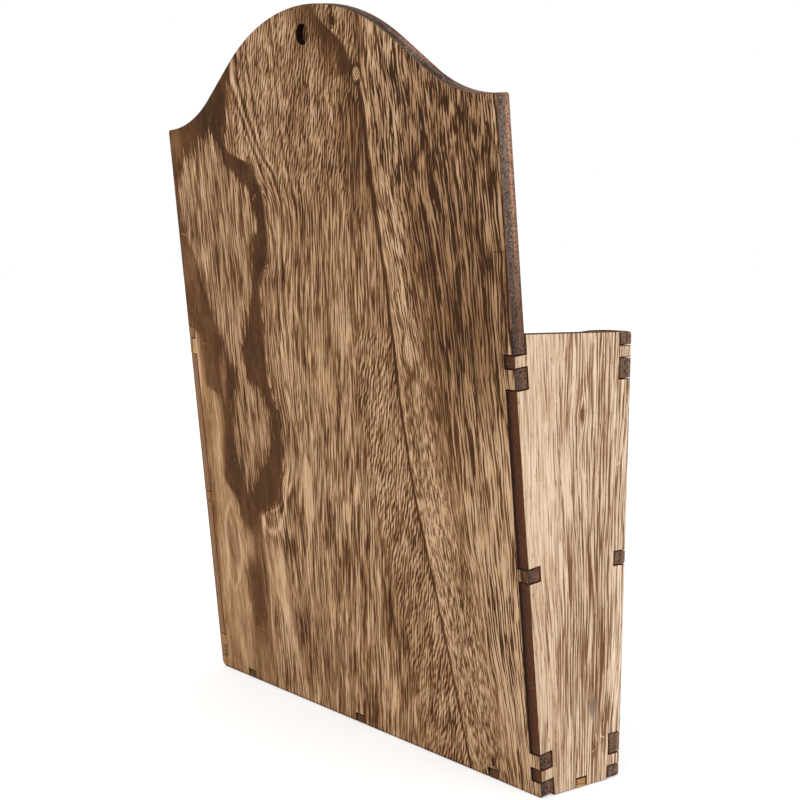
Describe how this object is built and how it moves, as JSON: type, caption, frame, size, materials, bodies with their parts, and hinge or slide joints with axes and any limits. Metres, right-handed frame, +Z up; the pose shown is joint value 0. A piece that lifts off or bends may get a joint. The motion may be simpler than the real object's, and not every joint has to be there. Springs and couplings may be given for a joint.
{
  "type": "wall mail organizer",
  "caption": "Wall-hung letter pocket of finger-jointed plywood with an arched, leaning back panel, a blind nail hole near its top and a front panel with a scooped upper edge.",
  "frame": {"origin": "middle of the base, on the underside of the bottom panel, as the organizer stands on a table", "axes": "+Z up, front panel upright and facing -Y, back panel leaning back towards +Y, +X to the right seen from the front"},
  "size_m": [0.24, 0.0829, 0.3226],
  "materials": {
    "back_veneer": "burnt and brushed plywood veneer, satin",
    "front_veneer": "burnt and brushed plywood veneer, satin",
    "side_veneer": "lightly burnt plywood veneer, satin",
    "bottom_plywood": "bare plywood"
  },
  "bodies": {
    "root": {"back_panel": "back_veneer", "front_panel": "front_veneer", "left_side_panel": "side_veneer", "right_side_panel": "side_veneer", "bottom_panel": "bottom_plywood"}
  },
  "joints": []
}
